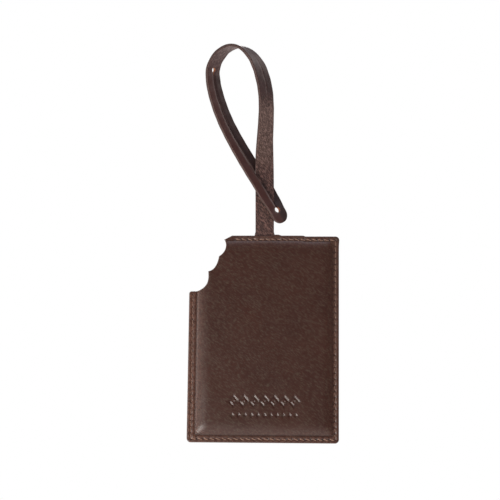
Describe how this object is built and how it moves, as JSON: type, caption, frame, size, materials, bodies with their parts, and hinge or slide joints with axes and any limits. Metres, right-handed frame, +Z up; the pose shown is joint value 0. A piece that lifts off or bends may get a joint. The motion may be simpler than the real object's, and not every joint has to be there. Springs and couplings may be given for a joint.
{
  "type": "luggage tag",
  "caption": "Leather luggage tag with a raised stitched front, a scalloped corner, a window pocket with an address card behind, and a slit strap looped through itself.",
  "frame": {"origin": "inside of the strap loop's top, where the bag handle carries the tag", "axes": "+Z up along the hanging tag, +X to the viewer's right, the front faces -Y"},
  "size_m": [0.075, 0.0107, 0.199],
  "materials": {
    "strap_leather": "smooth, semi-matt",
    "cover_leather": "fine grain, semi-matt",
    "foam": "matt",
    "board": "matt",
    "clear_film": "clear, glossy",
    "card_paper": "matt",
    "thread": "matt, twisted"
  },
  "bodies": {
    "loop": {"strap_loop": "strap_leather"},
    "tag": {"strap_tail": "strap_leather", "front_cover": "cover_leather", "padding": "foam", "stiffener_board": "board", "back_cover": "cover_leather", "pocket_panel": "cover_leather", "window_film": "clear_film", "edge_stitching_front": "thread", "edge_stitching_back": "thread", "window_stitching": "thread"},
    "card": {"address_card": "card_paper"}
  },
  "joints": [
    {"name": "tag_swing", "type": "hinge", "parent": "loop", "child": "tag", "pos_m": [0.0144, 0, -0.0909], "axis": [1, 0, 0], "range_deg": [-85, 85]},
    {"name": "card_slide", "type": "slide", "parent": "tag", "child": "card", "axis": [1, 0, 0], "range_m": [0, 0.062]}
  ]
}
